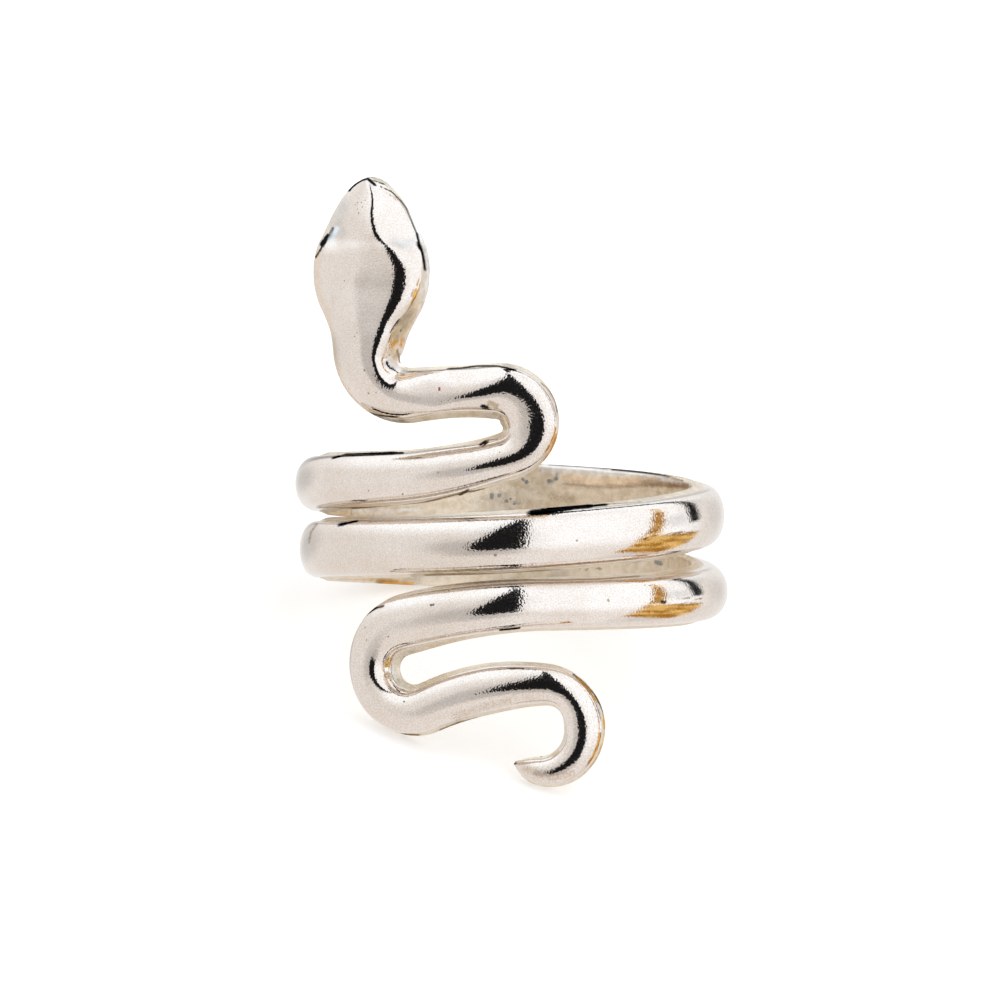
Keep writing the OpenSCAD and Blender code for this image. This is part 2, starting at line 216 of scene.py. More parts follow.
def fall(g):
    """How steeply it falls there, in degrees."""
    g = np.asarray(g, float)
    return np.arctan((rise(g + NUDGE) - rise(g - NUDGE)) / (2 * NUDGE) / MM_DEG) / DEG


def walk(across, up, start, rows):
    """Points of the middle line from a joint: length, across, up, heading."""
    run = sum(r[0] for r in rows)
    s = np.linspace(0, run, int(run / STEP) + 1)
    g = heading((s[1:] + s[:-1]) / 2, start, rows) * DEG
    d = np.diff(s)
    x = across + np.concatenate([[0], np.cumsum(d * np.cos(g))])
    z = up + np.concatenate([[0], np.cumsum(d * np.sin(g))])
    return np.stack([s, x, z, heading(s, start, rows)], 1)


def middle_line():
    """The whole middle line from the snout to the tail: length, across, up, heading."""
    upper = walk(-HEAD_AT, float(rise(WRAP_0)), -float(fall(WRAP_0)), HEAD_ROWS)
    lower = walk(-WRAP_1 * MM_DEG, float(rise(WRAP_1)), 180 - float(fall(WRAP_1)), TAIL_ROWS)
    upper[:, 0] = HEAD_RUN - upper[:, 0]
    upper[:, 3] += 180
    lower[:, 0] += TAIL_FROM
    g = np.linspace(WRAP_0, WRAP_1, int(WRAP_RUN / WRAP_STEP) + 1)[1:-1]
    wraps = np.stack([HEAD_RUN + (g - WRAP_0) * MM_DEG, -g * MM_DEG, rise(g), 180 - fall(g)], 1)
    return np.concatenate([upper[::-1], wraps, lower])


def sections():
    """Length from the snout, width, crown, left and right flank, left and right foot, lift, how flat, crease,
    soft, round, lean."""
    rows = []
    for share, w, crown, left, right, foot_l, foot_r, crease, soft, lean in HEAD_ROW:
        h = crown * HEAD_H
        rows.append((share * HEAD_L, w * HEAD_W, h, left * FLANK_W, right * FLANK_W, foot_l * h, foot_r * h,
                     CLEAR_IN, 1, crease, soft, 1, lean))
    for row, share, w, crown, left, right, flat, *form in UPPER_ROW:
        at = HEAD_RUN - run_to(HEAD_ROWS, row, share)
        rows.append((at, w, crown * WALL_T, left * FLANK_W, right * FLANK_W, FOOT_H, FOOT_H,
                     -UNDER if flat < ON_WALL else CLEAR_IN, flat, *form))
    for share, w, crown in WRAP_ROW:
        rows.append((HEAD_RUN + share * WRAP_RUN, w * BAND_W, crown * WALL_T, 0.5 * FLANK_W, 0.5 * FLANK_W,
                     FOOT_H, FOOT_H, -UNDER, 0, *ROUND))
    for row, share, w, crown, left, right, foot, flat in TAIL_ROW:
        at = TAIL_FROM + run_to(TAIL_ROWS, row, share)
        rows.append((at, w, crown * WALL_T, left * FLANK_W, right * FLANK_W, foot * FOOT_H, foot * FOOT_H,
                     CLEAR_IN if flat else -UNDER, flat * TAIL_FLAT,
                     *(HOOK_ROUND if row >= HOOK_FROM else TAIL_ROUND)))
    return rows


def cap(sec, u):
    """Points of each section's crown, sideways and up: u is -1 at its left edge and 1 at its right."""
    _, w, crown, left, right, foot_l, foot_r, _, _, crease, soft, hump, lean = sec.T
    lo, hi = -w / 2 + left, w / 2 - right
    drop = ramp((abs(u) - crease + soft) / (2 * soft)) / ramp((1 - crease + soft) / (2 * soft))
    foot = foot_l if u < 0 else foot_r
    side = (lo + hi) / 2 + (hi - lo) / 2 * (u + lean * (1 - u * u))
    return side, foot + (crown - foot) * np.maximum(1 - drop, 0) ** hump


def outlines(sec):
    """Each section's points, sideways and up, and which of them are on the crown."""
    _, w, _, left, right, foot_l, foot_r, lift = sec.T[:8]
    a = w / 2
    e = np.minimum(EDGE_R, EDGE_SHARE * w)
    lo, hi = -a + left, a - right
    points = []
    quarter = [i / EDGE_N * math.pi / 2 for i in range(EDGE_N + 1)]
    shares = [i / FLANK_N for i in range(1, FLANK_N)]
    for t in quarter:
        points.append((-a + e * (1 - math.sin(t)), lift + e * (1 - math.cos(t)), False))
    for k in shares:
        points.append((-a + k * (lo + a), lift + e + k * (foot_l - lift - e), False))
    for i in range(CROWN_N + 1):
        points.append((*cap(sec, -math.cos(math.pi * i / CROWN_N)), True))
    for k in reversed(shares):
        points.append((a + k * (hi - a), lift + e + k * (foot_r - lift - e), False))
    for t in reversed(quarter):
        points.append((a - e * (1 - math.sin(t)), lift + e * (1 - math.cos(t)), False))
    for i in range(1, SOLE_N):
        points.append(((1 - 2 * i / SOLE_N) * (a - e), lift, False))
    side, up = (np.stack([p[k] for p in points], 1) for k in (0, 1))
    return side, up, np.array([p[2] for p in points])


def seat(line, side, up, flat, turn):
    """Points beside the middle line: on the finger's wall, mixed with the flat plane that touches it."""
    way = line[:, 3:4] * DEG
    x = line[:, 1:2] - np.sin(way) * side
    z = line[:, 2:3] + np.cos(way) * side
    r = FINGER_R + up
    g = x / MM_DEG * DEG
    wall = np.stack([r * np.sin(g), -r * np.cos(g), z], -1)
    t = turn[:, None] * DEG
    d = x - turn[:, None] * MM_DEG
    plane = np.stack([r * np.sin(t) + d * np.cos(t), -r * np.cos(t) + d * np.sin(t), z], -1)
    flat = np.maximum(flat, 0)[:, None, None]
    return (1 - flat) * wall + flat * plane


def eye_spot(line, sec, way):
    """Middle of one eye's hollow on the crown, and the way out of the metal there."""
    i = int(np.searchsorted(line[:, 0], EYE_AT * HEAD_L))
    near, far = (np.array(cap(sec[i:i + 1], way * (EYE_OUT + d)))[:, 0] for d in (-CROWN_NUDGE, CROWN_NUDGE))
    out = way * np.array([near[1] - far[1], far[0] - near[0]]) / np.linalg.norm(far - near)
    middle = (near + far) / 2
    side, up = np.stack([middle, middle + out], 1)
    spot, above = seat(line[i:i + 1], side[None], up[None], sec[i:i + 1, 8], np.array([PLATE_TURN]))[0]
    return spot, above - spot


def body_points():
    """The body's rings of points in the ring's own frame, in mm, and which of a ring's points are on the crown."""
    line = middle_line()
    sec = curve(sections(), line[:, 0])
    side, up, crown = outlines(sec)
    turn = np.where(line[:, 0] < HEAD_RUN + WRAP_RUN / 2, PLATE_TURN, TAIL_TURN - TWO_TURNS)
    points = seat(line, side, up, sec[:, 8], turn)
    for way, deep in EYE_DEEP.items():
        spot, out = eye_spot(line, sec, way)
        reach = np.linalg.norm(points - spot, axis=-1, keepdims=True)
        points = points - out * deep * np.exp(-(reach / EYE_SPREAD) ** 2)
    # the finger's bore is cut true round
    away = np.hypot(points[..., 0], points[..., 1])
    points[..., :2] *= np.maximum(FINGER_R / np.maximum(away, 1e-6), 1)[..., None]
    return points, crown


def rest_matrix():
    """Turn from the ring's own frame to the row's, from the way that the finger mount's axis points."""
    finger = [mount for mount in frame["record"]["mounts"] if mount["name"] == "finger"][0]
    axis = np.array(finger["axis"])
    k = -axis[1] / axis[2]
    up_y = k / math.sqrt(1 + k * k)
    up = np.array([math.sqrt(max(1 - up_y ** 2 - axis[2] ** 2, 0)), up_y, axis[2]])
    front = np.array([0, -1, 0]) + up * up_y
    front /= np.linalg.norm(front)
    return np.stack([np.cross(up, front), -front, up])


TURN = rest_matrix()


def tube(name, rings):
    """A closed mesh through rings of points, in metres."""
    n, m = rings.shape[:2]
    verts = np.concatenate([rings.reshape(-1, 3), rings[[0, -1]].mean(1)])
    i, j = np.meshgrid(np.arange(n - 1), np.arange(m), indexing="ij")
    k = (j + 1) % m
    quads = np.stack([i * m + j, (i + 1) * m + j, (i + 1) * m + k, i * m + k], -1).reshape(-1, 4)
    first, last = n * m, n * m + 1
    ends = [(first, a, (a + 1) % m) for a in range(m)]
    ends += [(last, (n - 1) * m + (a + 1) % m, (n - 1) * m + a) for a in range(m)]
    mesh = bpy.data.meshes.new(name)
    mesh.from_pydata(verts.tolist(), [], quads.tolist() + ends)
    mesh.shade_smooth()
    mesh.update()
    return mesh


class Tree:
    """Short way to add nodes and link them."""

    def __init__(self, tree):
        self.tree = tree
        tree.nodes.clear()

    def add(self, kind, *inputs, out=0, **props):
        node = self.tree.nodes.new(kind)
        for key, value in props.items():
            setattr(node, key, value)
        for i, value in enumerate(inputs):
            if value is None:
                continue
            if isinstance(value, bpy.types.NodeSocket):
                self.tree.links.new(value, node.inputs[i])
            else:
                node.inputs[i].default_value = value
        return node.outputs[out] if len(node.outputs) else node

    def math(self, operation, *inputs):
        return self.add("ShaderNodeMath", *inputs, operation=operation)

    def ramp(self, value, low, high, to_low=0.0, to_high=1.0):
        return self.add("ShaderNodeMapRange", value, low, high, to_low, to_high, clamp=True,
                        interpolation_type="SMOOTHSTEP")

    def past(self, value, at, soft):
        """0 below a value and 1 above it, with a soft edge."""
        return self.ramp(value, at - soft, at + soft)

    def short_of(self, value, at, soft):
        """1 below a value and 0 above it, with a soft edge."""
        return self.ramp(value, at - soft, at + soft, 1.0, 0.0)

    def noise(self, place, scale, detail, rough):
        return self.add("ShaderNodeTexNoise", place, None, scale, detail, rough)

    def mix(self, factor, a, b):
        node = self.tree.nodes.new("ShaderNodeMix")
        node.data_type = "RGBA"
        for name, value in (("Factor", factor), ("A", a), ("B", b)):
            at = [s for s in node.inputs if s.name == name and s.enabled][0]
            if isinstance(value, bpy.types.NodeSocket):
                self.tree.links.new(value, at)
            else:
                at.default_value = value
        return [s for s in node.outputs if s.enabled][0]

    def link(self, a, b):
        self.tree.links.new(a, b)


# the photograph's camera, in the ring's frame: the finger's axis is upright in the picture. Where it aims, across
# and up, how many degrees it looks down, how far off it is, how wide the picture is there, and its sensor, in mm
AIM, RISE_DEG, DISTANCE, PICTURE_W, SENSOR = (-0.552, 1.968), 2.0, 470.0, 48.0, 36.0
# the photograph's width in px
PHOTO = 1000
PX_MM = PHOTO / PICTURE_W


def view_axes():
    """Right, up and back of the photograph's camera, and its place, in the ring's frame."""
    back = np.array([0, -math.cos(RISE_DEG * DEG), math.sin(RISE_DEG * DEG)])
    up = np.array([0, math.sin(RISE_DEG * DEG), math.cos(RISE_DEG * DEG)])
    right = np.cross(up, back)
    return right, up, back, AIM[0] * right + AIM[1] * up + DISTANCE * back


# what is laid on the metal as colour: painted reflections, highlights and shade, along with its stains and
# tarnish. Colours, and strokes of them through px of the photograph, each with its half width in px and its
# strength
# painted reflection of the tent's dark slit and cord as black lines along rims and edges, and painted shade in the
# left eye's hollow
DARK = (0.012, 0.012, 0.014)
# painted shade and dark reflection in the thin stroke lines along rims, creases and gaps; soot in the specks among
# PITS
SOOT_AND_SHADE = (0.10, 0.085, 0.07)
# brown tarnish in specks, and painted shade in its thin lines along the crown's edges and creases
BROWN = (0.36, 0.25, 0.15)
TAN = (0.56, 0.45, 0.32)
# painted reflection of the tent's gold cloth: gold glints along creases and edges
GOLD_GLINT = (0.80, 0.46, 0.12)
BLUE = (0.30, 0.33, 0.37)
# painted shade: the bluish grey round the eyes' hollows
HOLLOW_SHADE = (0.62, 0.62, 0.62)
# painted highlight in its glints on the loop and its line by the third wrap's end; a cream tone inside and in one
# speck among PITS
CREAM = (0.93, 0.83, 0.70)
RED = (0.34, 0.005, 0.004)
# painted highlight: white on rims, facets and the knob, and the white seen between the first two wraps
PALE = (0.97, 0.94, 0.91)
KHAKI = (0.74, 0.68, 0.58)
# painted highlight: the peach-cream streak inside the far wrap
PEACH = (0.97, 0.80, 0.62)
# brown tone in its thin lines and inside, and painted shade in its wide strokes low on the tail's limb and loop
UMBER = (0.52, 0.39, 0.27)
WARM = (0.82, 0.66, 0.50)
# painted reflection of the gold cloth, dimmed to gold-brown, along the head's right crease and on the third wrap
OCHRE = (0.50, 0.32, 0.12)
# painted highlight: the bluish white beside the left eye
ICE = (0.86, 0.93, 1.0)
STROKES = [
    # head
    (HOLLOW_SHADE, 7, 0.45, [(345, 203), (341, 214), (336, 226), (341, 233)]),
    (HOLLOW_SHADE, 6, 0.5, [(394, 241), (402, 244), (410, 243)]),
    (WARM, 4, 0.4, [(317, 255), (316, 272), (319, 292), (327, 315), (332, 335), (336, 362), (343, 385),
                    (356, 404), (372, 414)]),
    (KHAKI, 2.5, 0.7, [(374, 179), (385, 183), (395, 189), (402, 198), (408, 210)]),
    (PALE, 4, 0.9, [(427, 255), (428, 270), (427, 284), (423, 298)]),
    (PALE, 3, 0.8, [(411, 214), (418, 230), (424, 247)]),
    (DARK, 1.0, 1, [(333, 228), (329, 236), (324, 244), (319, 252), (316, 257)]),
    (DARK, 2.4, 1, [(328, 236), (325, 240), (322, 244)]),
    (ICE, 2.2, 0.9, [(337, 228), (334, 234), (331, 240)]),
    (DARK, 1.2, 1, [(349, 191), (352, 187), (357, 183), (362, 180), (368, 179)]),
    (DARK, 1.4, 1, [(369, 180), (373, 183), (375, 185)]),
    (SOOT_AND_SHADE, 0.8, 0.9, [(384, 188), (392, 192), (397, 197), (401, 201)]),
    (SOOT_AND_SHADE, 0.9, 0.9, [(401, 201), (406, 208), (410, 217), (414, 227), (417, 234)]),
    (DARK, 1.3, 1, [(417, 234), (419, 243), (422, 252), (424, 261), (425, 270)]),
    (DARK, 1.8, 0.9, [(418, 244), (420, 248)]),
    (OCHRE, 0.8, 0.8, [(419, 279), (417, 286)]),
    (OCHRE, 2.0, 0.7, [(416, 290), (414, 297)]),
    (GOLD_GLINT, 1.0, 0.8, [(416, 291), (414, 298)]),
    (OCHRE, 1.2, 0.8, [(414, 298), (411, 304)]),
    (BROWN, 0.8, 0.7, [(413, 290), (411, 297)]),
    (KHAKI, 4.5, 0.85, [(409, 312), (404, 324), (398, 335)]),
    (KHAKI, 4.0, 0.9, [(410, 307), (397, 337)]),
    (PALE, 2.2, 0.8, [(421, 305), (417, 316), (411, 329), (405, 341)]),
    (SOOT_AND_SHADE, 0.9, 0.8, [(399, 319), (394, 326), (390, 333)]),
    (GOLD_GLINT, 1.8, 0.9, [(396, 341), (392, 346)]),
    (GOLD_GLINT, 1.4, 0.8, [(403, 340), (400, 345)]),
    (PALE, 4.0, 0.9, [(402, 352), (402, 363)]),
    (BROWN, 0.9, 0.9, [(397, 350), (400, 362)]),
    # neck and upper turn
    (BROWN, 0.9, 0.6, [(408, 372), (425, 372), (445, 370)]),
    (SOOT_AND_SHADE, 1.0, 0.95, [(448, 369), (462, 368), (478, 366), (498, 366), (515, 370)]),
    (BROWN, 0.8, 0.7, [(540, 382), (549, 390), (555, 400), (557, 411)]),
    (GOLD_GLINT, 1.3, 0.9, [(556, 436), (554, 445), (550, 453), (545, 460)]),
    (SOOT_AND_SHADE, 0.9, 0.8, [(363, 411), (372, 414), (384, 416), (398, 417)]),
    (DARK, 1.8, 0.95, [(482, 406), (487, 407)]),
    (TAN, 3.0, 0.8, [(490, 403), (496, 406)]),
    (TAN, 3.0, 0.6, [(501, 419), (505, 428)]),
    (SOOT_AND_SHADE, 0.9, 0.9, [(483, 446), (488, 442)]),
    (BROWN, 0.7, 0.8, [(488, 440), (498, 439)]),
    # first wrap
    (DARK, 1.2, 1, [(333, 458), (340, 456), (346, 455)]),
    (DARK, 1.6, 1, [(346, 455), (364, 454.3), (380, 453.7), (394, 453)]),
    (DARK, 1.2, 0.9, [(394, 453), (403, 453)]),
    (BROWN, 0.8, 0.45, [(406, 452.5), (430, 450), (452, 448), (478, 445)]),
    (DARK, 1.2, 0.9, [(480, 445), (486, 441)]),
    (BROWN, 1.0, 0.8, [(320, 508), (360, 508), (400, 506), (422, 503)]),
    (BROWN, 1.0, 0.8, [(422, 503), (442, 498), (462, 493), (485, 489), (510, 483)]),
    (SOOT_AND_SHADE, 1.4, 0.7, [(460, 495), (468, 490)]),
    (PALE, 3.4, 0.95, [(321, 510), (334, 510.5), (350, 512), (390, 512)]),
    (PALE, 2.2, 0.8, [(390, 511), (420, 509)]),
    # second wrap
    (BLUE, 2.0, 0.8, [(339, 525), (344, 524)]),
    (DARK, 1.2, 0.95, [(340, 525), (348, 523), (357, 521)]),
    (BROWN, 1.5, 0.45, [(309, 542), (311, 532), (317, 524)]),
    (DARK, 3.3, 1, [(531, 513), (541, 512), (551, 510)]),
    (DARK, 2.9, 1, [(551, 510), (560, 509), (568, 508)]),
    (DARK, 2.1, 1, [(568, 508), (580, 506.7), (590, 506)]),
    (DARK, 1.3, 0.95, [(590, 506), (600, 505), (606, 504.5)]),
    (BROWN, 0.8, 0.5, [(608, 504), (625, 503), (640, 502)]),
    (BROWN, 0.8, 0.7, [(645, 538), (660, 534), (680, 532), (693, 532.5)]),
    (SOOT_AND_SHADE, 1.2, 0.8, [(645, 539), (648, 540)]),
    (KHAKI, 3.5, 0.8, [(414, 576), (430, 572), (470, 571)]),
    (KHAKI, 2.2, 0.7, [(470, 571), (520, 573), (560, 571)]),
    (BROWN, 0.9, 0.7, [(425, 575), (470, 574), (500, 574), (540, 571), (600, 569), (640, 562)]),
    (BROWN, 1.0, 0.8, [(339, 580), (359, 580)]),
    # third wrap, loop and tail
    (SOOT_AND_SHADE, 1.1, 0.95, [(354, 630), (359, 622), (366, 614.5), (376, 608), (384, 606)]),
    (DARK, 1.8, 0.85, [(662, 602), (665, 602)]),
    (BROWN, 0.8, 0.7, [(666, 598.5), (685, 598), (703, 599)]),
    (CREAM, 0.8, 0.7, [(661, 611), (675, 611.5), (690, 612)]),
    (UMBER, 1.0, 0.7, [(427, 587), (470, 583), (520, 580), (560, 580), (600, 579), (640, 576)]),
    (DARK, 1.0, 1, [(500, 630), (510, 629), (519, 628)]),
    (PALE, 1.8, 0.8, [(386, 668), (393, 673)]),
    (CREAM, 2.0, 0.8, [(397, 667), (399, 672)]),
    (BROWN, 0.9, 0.8, [(375, 724), (385, 730), (400, 734), (420, 735)]),
    (BROWN, 1.2, 0.7, [(440, 730), (455, 724), (460, 722), (480, 718)]),
    (BROWN, 1.6, 0.85, [(533, 708), (543, 709)]),
    (UMBER, 5.0, 0.38, [(455, 716), (475, 710), (490, 705), (508, 701)]),
    (UMBER, 5.0, 0.42, [(525, 768), (538, 774), (555, 777), (572, 774)]),
    (SOOT_AND_SHADE, 0.9, 0.9, [(573, 674), (584, 683), (594, 694), (601, 706), (604, 714)]),
    (GOLD_GLINT, 0.9, 0.9, [(578, 679), (588, 689), (597, 702)]),
    (GOLD_GLINT, 1.6, 0.95, [(604, 716), (605, 728)]),
    (DARK, 1.2, 1, [(541, 756), (549, 752), (556, 748)]),
    (SOOT_AND_SHADE, 1.0, 0.9, [(511, 766), (516, 763)]),
    # inside
    (PALE, 4.5, 0.95, [(545, 469), (575, 471), (600, 472)]),
    (PALE, 2.6, 0.95, [(600, 473), (640, 476), (675, 481), (692, 486)]),
    (SOOT_AND_SHADE, 1.1, 0.6, [(550, 464.5), (580, 466.3), (600, 468), (612, 469)]),
    (SOOT_AND_SHADE, 1.2, 0.95, [(612, 469), (626, 470.5), (640, 472.2), (660, 475), (668, 476.5)]),
    (BROWN, 1.1, 0.7, [(668, 476.5), (682, 480.5)]),
    (PEACH, 3.6, 0.5, [(560, 476), (570, 478)]),
    (PEACH, 4.2, 0.9, [(572, 478), (585, 480), (600, 481), (620, 481), (638, 480)]),
    (PEACH, 3.0, 0.5, [(638, 480), (655, 479)]),
    (UMBER, 2.2, 0.6, [(565, 484), (590, 487), (620, 487), (650, 485), (690, 486)]),
    (UMBER, 3.2, 0.5, [(640, 482), (665, 484), (685, 486)]),
    (CREAM, 3.0, 0.5, [(565, 491), (590, 493), (615, 493)]),
    (TAN, 5.0, 0.5, [(553, 497), (560, 499), (572, 499)]),
    (KHAKI, 9.0, 0.4, [(480, 502), (505, 498), (530, 492), (546, 484)]),
    (BLUE, 2.0, 0.45, [(548, 482), (553, 481), (557, 479)]),
    (BLUE, 1.6, 0.6, [(556, 473), (557, 478)]),
    (BLUE, 2.0, 0.4, [(514, 503), (522, 504)]),
    (BLUE, 2.4, 0.7, [(656, 562), (661, 564)]),
    (KHAKI, 3.0, 0.9, [(378, 582), (400, 582), (418, 580)]),
    (OCHRE, 2.4, 0.9, [(379, 582), (396, 583)]),
    (GOLD_GLINT, 2.0, 0.9, [(384, 583), (398, 584), (412, 584)]),
]
# small pits and specks: px, radius in px, colour
PITS = [
    (381.5, 186.5, 1.5, SOOT_AND_SHADE), (358, 203, 0.9, BROWN), (362, 202, 0.8, BROWN), (362.5, 206, 0.9, BROWN),
    (357, 210, 0.8, BROWN), (358, 214, 1.0, BROWN), (355, 205, 0.7, BROWN), (366, 200, 0.7, BROWN),
    (363.5, 370, 1.3, BROWN), (348.5, 388, 1.0, BROWN), (369, 394, 1.4, BROWN), (376, 392, 0.9, BROWN),
    (356, 333, 0.8, BROWN), (354, 336, 0.8, BROWN), (438.5, 387.2, 1.3, RED), (439.6, 389.0, 1.2, RED),
    (367.5, 491, 0.9, SOOT_AND_SHADE), (402.5, 494, 1.1, SOOT_AND_SHADE), (437, 472, 1.4, TAN), (432, 604.5, 1.5, SOOT_AND_SHADE),
    (434, 604, 1.2, SOOT_AND_SHADE), (609, 600, 1.5, BROWN), (493, 556, 1.6, BROWN), (577, 540, 1.3, BROWN),
    (404.5, 701.5, 1.2, SOOT_AND_SHADE), (449, 591, 0.9, SOOT_AND_SHADE), (388, 636, 1.0, BROWN), (366, 627, 1.3, TAN),
    (490, 494, 2.6, BLUE), (493, 497, 2.2, BLUE), (499, 496, 2.4, BLUE), (505, 501, 2.0, BLUE),
    (510, 498, 1.4, BLUE), (523, 480, 1.9, BLUE), (528, 481, 2.3, BLUE), (550, 481, 2.2, BLUE),
    (555, 479, 1.8, BLUE), (515, 503, 1.5, BLUE),
    (534, 565, 0.9, SOOT_AND_SHADE), (613, 565, 1.0, SOOT_AND_SHADE), (500.5, 607, 1.5, CREAM), (344, 281.5, 0.9, BROWN),
    (500.5, 451.5, 0.8, BROWN), (401, 331, 1.4, SOOT_AND_SHADE), (366, 640, 0.8, BROWN), (476, 694, 0.9, SOOT_AND_SHADE),
]


# noise in the silver, each with its cells to the metre, detail and roughness: the crown's fine grain and flecks,
# the cast skin's mottle, and clouds over both
GRAIN, FLECKS = (11000.0, 0.3, 0.5), (15000.0, 1.0, 0.7)
CAST, CLOUDS = (2200.0, 4.0, 0.65), (350.0, 3.0, 0.55)
# the polished silver between clouds and in them, its dark and light flecks and its warm spots
CROWN_DIM, CROWN_BRIGHT = (0.80, 0.725, 0.66, 1), (0.86, 0.80, 0.75, 1)
FLECK_DARK, FLECK_LIGHT, WARM_SPOT = (0.50, 0.40, 0.32, 1), (0.98, 0.95, 0.92, 1), (0.72, 0.60, 0.50, 1)
# how much the flecks show, and the warm spots, and the grey in the skin
FLECKED, SPOTTED, GREYED = 0.28, 0.35, 0.35
# the rough skin: beige, mottled, and grey in places
SKIN_DARK, SKIN_LIGHT, SKIN_GREY = (0.78, 0.67, 0.52, 1), (0.96, 0.87, 0.74, 1), (0.50, 0.49, 0.48, 1)
# how rough each one is, least and most
SKIN_ROUGH, CROWN_ROUGH = (0.34, 0.52), (0.05, 0.11)
# how high the bumps stand, in metres, and how many times that the skin's and the crown's are
BUMP, SKIN_BUMP, CROWN_BUMP = 0.00001, 4.0, 0.42
# a stroke's strength where it starts to show and where it covers, how much the grain frays its edge, and how much
# the mottle dims and lifts its colour
STROKE_SHOWS, STROKE_STARTS, FRAY, MOTTLED = (0.12, 0.85), (0.02, 0.12), 0.5, (0.86, 1.1)
# a pit's edge from and to, as shares of its radius, how much the grain frays it, and how strong its colour is
PIT_EDGE, PIT_FRAY, PIT_STRENGTH = (0.6, 1.2), 0.8, 0.9
WHITE = (1, 1, 1, 1)


def silver(pits):
    """Cast silver: polished crown with a fine grain, matt and rough on the flanks and inside."""
    material = bpy.data.materials.new("cast_silver")
    material.use_nodes = True
    t = Tree(material.node_tree)
    bsdf = t.tree.nodes.new("ShaderNodeBsdfPrincipled")
    out = t.tree.nodes.new("ShaderNodeOutputMaterial")
    t.link(bsdf.outputs[0], out.inputs[0])
    bsdf.inputs["Metallic"].default_value = 1.0
    polish = t.add("ShaderNodeAttribute", attribute_name="polish", out=2)
    paint = t.tree.nodes.new("ShaderNodeAttribute")
    paint.attribute_name = "paint"
    strength = paint.outputs["Alpha"]
    place = t.add("ShaderNodeTexCoord", out=3)
    grain, fleck = t.noise(place, *GRAIN), t.noise(place, *FLECKS)
    cast, cloud = t.noise(place, *CAST), t.noise(place, *CLOUDS)
    # colour: silver warms and dims in faint clouds and specks; the rough skin is beige, mottled brown and grey
    bright = t.mix(t.ramp(cloud, 0.3, 0.7), CROWN_DIM, CROWN_BRIGHT)
    bright = t.mix(t.ramp(fleck, 0.62, 0.3, 0.0, FLECKED), bright, FLECK_DARK)
    bright = t.mix(t.ramp(fleck, 0.5, 0.75, 0.0, FLECKED), bright, FLECK_LIGHT)
    bright = t.mix(t.ramp(cast, 0.5, 0.75, 0.0, SPOTTED), bright, WARM_SPOT)
    skin = t.mix(t.ramp(cast, 0.3, 0.7), SKIN_DARK, SKIN_LIGHT)
    skin = t.mix(t.ramp(cloud, 0.55, 0.72, 0.0, GREYED), skin, SKIN_GREY)
    color = t.mix(polish, skin, bright)
    # strokes over it, painted reflections, highlights and shade as well as stains, which also tint what is seen
    # edge-on, so that a dark one stays dark there
    laid = t.math("ADD", strength, t.math("MULTIPLY_ADD", grain, FRAY, -FRAY / 2))
    laid = t.math("MULTIPLY", t.ramp(laid, *STROKE_SHOWS), t.ramp(strength, *STROKE_STARTS))
    stain_and_painted_light = t.add("ShaderNodeVectorMath", paint.outputs["Color"], None, None,
                  t.ramp(cast, 0.35, 0.65, *MOTTLED), operation="SCALE")
    color = t.mix(laid, color, stain_and_painted_light)
    t.link(t.mix(laid, WHITE, stain_and_painted_light), bsdf.inputs["Specular Tint"])
    for spot, radius, tone in pits:
        fray = PIT_FRAY * radius
        reach = t.add("ShaderNodeVectorMath", place, tuple(spot), operation="DISTANCE", out=1)
        reach = t.math("ADD", reach, t.math("MULTIPLY_ADD", grain, fray, -fray / 2))
        low, high = (share * radius for share in PIT_EDGE)
        color = t.mix(t.ramp(reach, low, high, PIT_STRENGTH, 0.0), color, (*tone, 1))
    t.link(color, bsdf.inputs["Base Color"])
    rough = t.ramp(polish, 0.0, 1.0, t.ramp(cast, 0.3, 0.7, *SKIN_ROUGH), t.ramp(grain, 0.3, 0.7, *CROWN_ROUGH))
    t.link(rough, bsdf.inputs["Roughness"])
    bump = t.tree.nodes.new("ShaderNodeBump")
    bump.inputs["Strength"].default_value = 1.0
    bump.inputs["Distance"].default_value = BUMP
    high = t.ramp(polish, 0.0, 1.0, t.math("MULTIPLY", cast, SKIN_BUMP), t.math("MULTIPLY", grain, CROWN_BUMP))
    t.link(high, bump.inputs["Height"])
    t.link(bump.outputs[0], bsdf.inputs["Normal"])
    return material


def picture(rings):
    """Each of the body's points in the photograph, in px, how far it lies from the camera, in mm, and how
    squarely it faces it."""
    right, up, back, eye = view_axes()
    around = np.roll(rings, -1, 1) - np.roll(rings, 1, 1)
    normal = np.cross(around, np.gradient(rings, axis=0))
    normal /= np.maximum(np.linalg.norm(normal, axis=2, keepdims=True), 1e-9)
    outward = (normal * (rings - rings.mean(1, keepdims=True))).sum()
    rel = rings.reshape(-1, 3) - eye
    deep = -rel @ back
    x = PHOTO / 2 + rel @ right / deep * DISTANCE * PX_MM
    y = PHOTO / 2 - rel @ up / deep * DISTANCE * PX_MM
    return x, y, deep, np.sign(outward) * (normal @ back).reshape(-1)


# a px shows a point of the body within SEARCH px of it, at most LAYER mm behind the nearest one there. Where none
# is so close it shows the closest one, up to FAR_SEARCH px away
SEARCH, FAR_SEARCH, LAYER = 2.6, 9.0, 0.6
# a stroke has faded out at this many half widths, keeps this near the depths that it passes, in mm, and stays off
# points that face away more than this
FADE, STROKE_DEEP, TURNED_AWAY = 1.5, 2 * LAYER, -0.1


